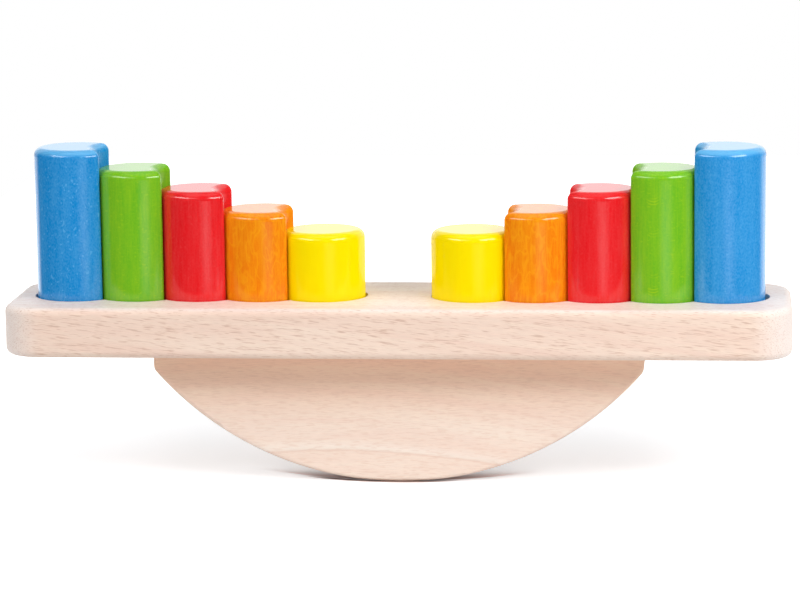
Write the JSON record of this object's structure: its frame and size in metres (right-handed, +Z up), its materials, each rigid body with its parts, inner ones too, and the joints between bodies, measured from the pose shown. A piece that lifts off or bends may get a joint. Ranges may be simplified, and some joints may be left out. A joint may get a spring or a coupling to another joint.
{
  "type": "wooden balance toy",
  "caption": "Rocking board on an arc-shaped foot that carries two rows of nesting, lift-out wooden blocks in rising heights, for balancing and stacking play.",
  "frame": {"origin": "the middle of the rocker's foot on the table, midway along the board and midway between front and rear", "axes": "+Z up, +X along the board to the right as pictured, +Y from front to rear"},
  "size_m": [0.376, 0.084, 0.1605],
  "materials": {
    "beech": "fine-sanded pale beech with a clear matt oil",
    "dowel": "plain beech dowel",
    "yellow_lacquer": "glossy yellow stain and lacquer over wood grain",
    "orange_lacquer": "glossy orange stain and lacquer over wood grain",
    "red_lacquer": "glossy red stain and lacquer over wood grain",
    "green_lacquer": "glossy green stain and lacquer over wood grain",
    "blue_lacquer": "glossy blue stain and lacquer over wood grain"
  },
  "bodies": {
    "stand": {"board": "beech", "rocker": "beech", "dowel_left": "dowel", "dowel_middle": "dowel", "dowel_right": "dowel"},
    "yellow_block_left": {"yellow_block_left": "yellow_lacquer"},
    "orange_block_left": {"orange_block_left": "orange_lacquer"},
    "red_block_left": {"red_block_left": "red_lacquer"},
    "green_block_left": {"green_block_left": "green_lacquer"},
    "blue_block_left": {"blue_block_left": "blue_lacquer"},
    "yellow_block_right": {"yellow_block_right": "yellow_lacquer"},
    "orange_block_right": {"orange_block_right": "orange_lacquer"},
    "red_block_right": {"red_block_right": "red_lacquer"},
    "green_block_right": {"green_block_right": "green_lacquer"},
    "blue_block_right": {"blue_block_right": "blue_lacquer"}
  },
  "joints": [
    {"name": "yellow_block_left_lift", "type": "slide", "parent": "stand", "child": "yellow_block_left", "axis": [0, 0, 1], "range_m": [0, 0.09]},
    {"name": "orange_block_left_lift", "type": "slide", "parent": "stand", "child": "orange_block_left", "axis": [0, 0, 1], "range_m": [0, 0.09]},
    {"name": "red_block_left_lift", "type": "slide", "parent": "stand", "child": "red_block_left", "axis": [0, 0, 1], "range_m": [0, 0.09]},
    {"name": "green_block_left_lift", "type": "slide", "parent": "stand", "child": "green_block_left", "axis": [0, 0, 1], "range_m": [0, 0.09]},
    {"name": "blue_block_left_lift", "type": "slide", "parent": "stand", "child": "blue_block_left", "axis": [0, 0, 1], "range_m": [0, 0.09]},
    {"name": "yellow_block_right_lift", "type": "slide", "parent": "stand", "child": "yellow_block_right", "axis": [0, 0, 1], "range_m": [0, 0.09]},
    {"name": "orange_block_right_lift", "type": "slide", "parent": "stand", "child": "orange_block_right", "axis": [0, 0, 1], "range_m": [0, 0.09]},
    {"name": "red_block_right_lift", "type": "slide", "parent": "stand", "child": "red_block_right", "axis": [0, 0, 1], "range_m": [0, 0.09]},
    {"name": "green_block_right_lift", "type": "slide", "parent": "stand", "child": "green_block_right", "axis": [0, 0, 1], "range_m": [0, 0.09]},
    {"name": "blue_block_right_lift", "type": "slide", "parent": "stand", "child": "blue_block_right", "axis": [0, 0, 1], "range_m": [0, 0.09]}
  ]
}
